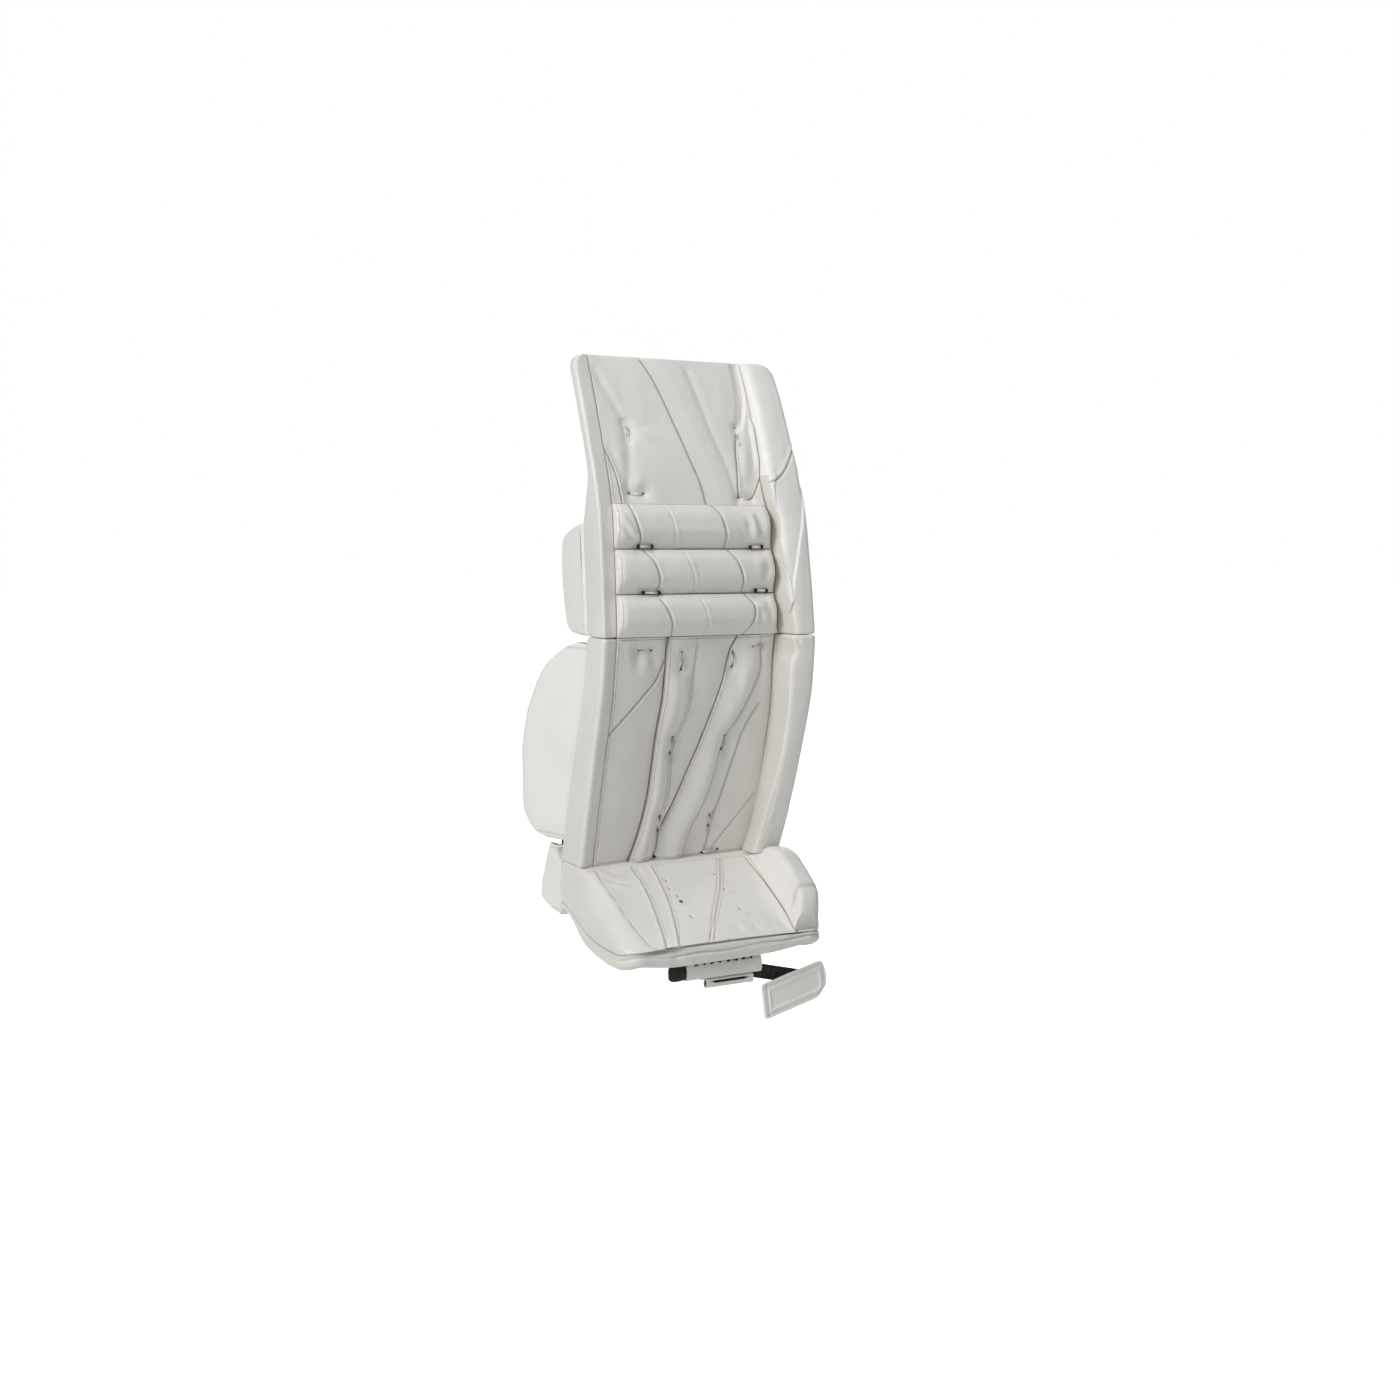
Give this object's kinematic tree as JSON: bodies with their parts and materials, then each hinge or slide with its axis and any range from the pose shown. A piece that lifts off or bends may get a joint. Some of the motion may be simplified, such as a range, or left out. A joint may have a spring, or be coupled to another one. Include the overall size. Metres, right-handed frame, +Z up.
{
  "type": "ice hockey goalie leg pad",
  "caption": "Padded leg guard that bends at the knee, with horizontal knee rolls, a raised outer roll, a hollow boot over the skate, calf wings and a toe strap.",
  "frame": {"origin": "where the shin rests on the pad's back, on its middle line and level with the knee break", "axes": "+Z up along the leg, -Y towards the puck, -X towards the pad's inner edge and the other leg"},
  "size_m": [0.3406, 0.2966, 0.8311],
  "materials": {
    "white_leather": "smooth white synthetic leather over foam, low sheen",
    "black_webbing": "black woven elastic webbing"
  },
  "bodies": {
    "root": {"thigh_core": "white_leather", "shin_core": "white_leather", "inner_edge_upper": "white_leather", "inner_edge_lower": "white_leather", "thigh_face": "white_leather", "knee_roll_1": "white_leather", "knee_roll_2": "white_leather", "knee_roll_3": "white_leather", "outer_roll_upper": "white_leather", "outer_roll_lower": "white_leather", "shin_panel_inner": "white_leather", "shin_rib_inner": "white_leather", "shin_panel_middle": "white_leather", "shin_rib_outer": "white_leather", "shin_panel_outer": "white_leather", "boot": "white_leather", "boot_hem": "white_leather", "boot_outer_roll": "white_leather", "knee_block": "white_leather", "calf_wing_inner": "white_leather", "calf_wing_outer": "white_leather", "ankle_flap": "white_leather", "toe_sleeve": "white_leather", "toe_keeper": "white_leather", "toe_tab": "white_leather", "ankle_strap": "black_webbing", "toe_core": "black_webbing", "toe_keeper_core": "black_webbing", "toe_strap": "black_webbing"}
  },
  "joints": []
}
